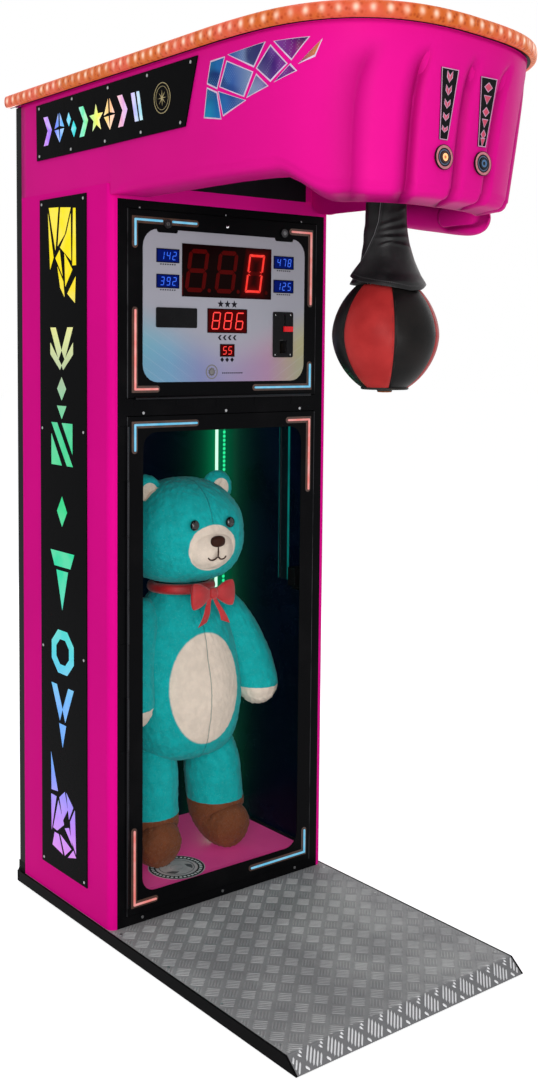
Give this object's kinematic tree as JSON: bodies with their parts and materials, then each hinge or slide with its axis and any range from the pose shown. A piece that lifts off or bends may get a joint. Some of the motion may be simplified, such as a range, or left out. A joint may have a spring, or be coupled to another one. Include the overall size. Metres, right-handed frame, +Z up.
{
  "type": "boxing arcade machine",
  "caption": "Upright boxing arcade machine with a hinged punch bag under an overhanging hand-shaped head, a lit prize showcase, a display door and a tread-plate platform.",
  "frame": {"origin": "on the floor under the middle of the machine's bounding box", "axes": "+Z up; the player stands at -Y facing +Y; +X is on the player's right"},
  "size_m": [0.794, 1.388, 2.166],
  "materials": {
    "painted_black": "satin powder coat",
    "tread": "brushed five-bar plate",
    "rubber": "matt",
    "magenta_laminate": "gloss",
    "magenta_moulding": "gloss gelcoat",
    "zinc_steel": "zinc plated",
    "bright_steel": "ground and polished",
    "black_plastic": "matt",
    "red_plastic": "gloss",
    "display_red": "smoked window",
    "display_blue": "lit window",
    "silver_print": "printed and coated",
    "strip_light": "lit diffuser",
    "glass": "clear",
    "lining": "satin",
    "trim_lamp": "lit translucent",
    "leather_black": "grained",
    "bag_leather": "gloss, black and red gores",
    "brass": "bare",
    "board": "solder mask",
    "plush": "short pile"
  },
  "bodies": {
    "machine": {"base_frame": "painted_black", "tread_plate": "tread", "rubber_feet": "rubber", "side_panel_left": "magenta_laminate", "side_panel_right": "magenta_laminate", "cabinet_frame": "zinc_steel", "rear_cover": "painted_black", "power_inlet": "black_plastic", "showcase_lining": "lining", "showcase_floor": "magenta_laminate", "display_shelf": "painted_black", "front_frame": "painted_black", "cover_screws": "bright_steel", "lock_box": "zinc_steel", "side_light_panels": "black_plastic", "side_sign_panels": "black_plastic", "head_shell": "magenta_moulding", "thumb_moulding": "magenta_moulding", "head_cover": "magenta_moulding", "trim_channel": "zinc_steel", "trim_lens": "trim_lamp", "head_frame": "zinc_steel", "recess_liner": "lining", "lintel_panel": "magenta_moulding", "pivot_bracket": "zinc_steel", "latch_solenoid": "brass", "button_plates": "black_plastic", "control_board": "board", "bear_body": "plush", "bear_head": "plush", "bear_arm_left": "plush", "bear_arm_right": "plush", "bear_leg_left": "plush", "bear_leg_right": "plush"},
    "bag": {"pivot_shaft": "bright_steel", "bag_arm": "zinc_steel", "punch_bag": "bag_leather", "bag_sleeve": "leather_black"},
    "latch": {"bag_latch": "bright_steel"},
    "display_door": {"display_door": "painted_black", "display_plate": "silver_print", "score_display": "display_red", "counter_displays": "display_blue", "coin_plate": "painted_black", "coin_mech": "brass", "lock_barrels": "bright_steel", "display_strips": "strip_light"},
    "lock_left": {"lock_cam_left": "bright_steel"},
    "lock_right": {"lock_cam_right": "bright_steel"},
    "reject": {"reject_button": "red_plastic"},
    "prize_door": {"prize_door": "painted_black", "glass_gasket": "rubber", "prize_glass": "glass", "prize_strips": "strip_light"},
    "bolt": {"lock_bolt": "bright_steel"},
    "service_door": {"service_door": "painted_black"},
    "switch": {"power_switch": "red_plastic"},
    "start": {"start_button": "trim_lamp"},
    "record": {"record_button": "display_blue"},
    "wheels": {"transport_wheels": "rubber"}
  },
  "joints": [
    {"name": "bag_swing", "type": "hinge", "parent": "machine", "child": "bag", "pos_m": [0, -0.404, 1.95], "axis": [1, 0, 0], "range_deg": [-10, 90]},
    {"name": "latch_swing", "type": "hinge", "parent": "machine", "child": "latch", "pos_m": [0.061, -0.244, 2.03], "axis": [-1, 0, 0], "range_deg": [0, 35]},
    {"name": "display_door_swing", "type": "hinge", "parent": "machine", "child": "display_door", "pos_m": [0, 0.1818, 1.37075], "axis": [1, 0, 0], "range_deg": [0, 80]},
    {"name": "lock_left_turn", "type": "hinge", "parent": "display_door", "child": "lock_left", "pos_m": [-0.187, 0.188, 1.802], "axis": [0, -1, 0], "range_deg": [0, 90]},
    {"name": "lock_right_turn", "type": "hinge", "parent": "display_door", "child": "lock_right", "pos_m": [0.187, 0.188, 1.802], "axis": [0, 1, 0], "range_deg": [0, 90]},
    {"name": "reject_push", "type": "slide", "parent": "display_door", "child": "reject", "axis": [0, 1, 0], "range_m": [0, 0.003], "stiffness_N_per_m": 400, "springref_m": -0.002},
    {"name": "prize_door_swing", "type": "hinge", "parent": "machine", "child": "prize_door", "pos_m": [-0.30325, 0.1818, 0.69], "axis": [0, 0, -1], "range_deg": [0, 110]},
    {"name": "bolt_slide", "type": "slide", "parent": "machine", "child": "bolt", "axis": [0, 0, -1], "range_m": [0, 0.01], "stiffness_N_per_m": 60, "springref_m": -0.02},
    {"name": "service_door_swing", "type": "hinge", "parent": "machine", "child": "service_door", "pos_m": [-0.224, 0.6745, 1.6], "axis": [0, 0, 1], "range_deg": [0, 120]},
    {"name": "power_switch_rock", "type": "hinge", "parent": "machine", "child": "switch", "pos_m": [0.268, 0.669, 0.18], "axis": [1, 0, 0], "range_deg": [0, 14]},
    {"name": "start_push", "type": "slide", "parent": "machine", "child": "start", "axis": [0, 1, 0], "range_m": [0, 0.003], "stiffness_N_per_m": 400, "springref_m": -0.002},
    {"name": "record_push", "type": "slide", "parent": "machine", "child": "record", "axis": [0, 1, 0], "range_m": [0, 0.003], "stiffness_N_per_m": 400, "springref_m": -0.002},
    {"name": "wheels_roll", "type": "hinge", "parent": "machine", "child": "wheels", "pos_m": [0, 0.66, 0.02], "axis": [1, 0, 0], "continuous": true}
  ]
}
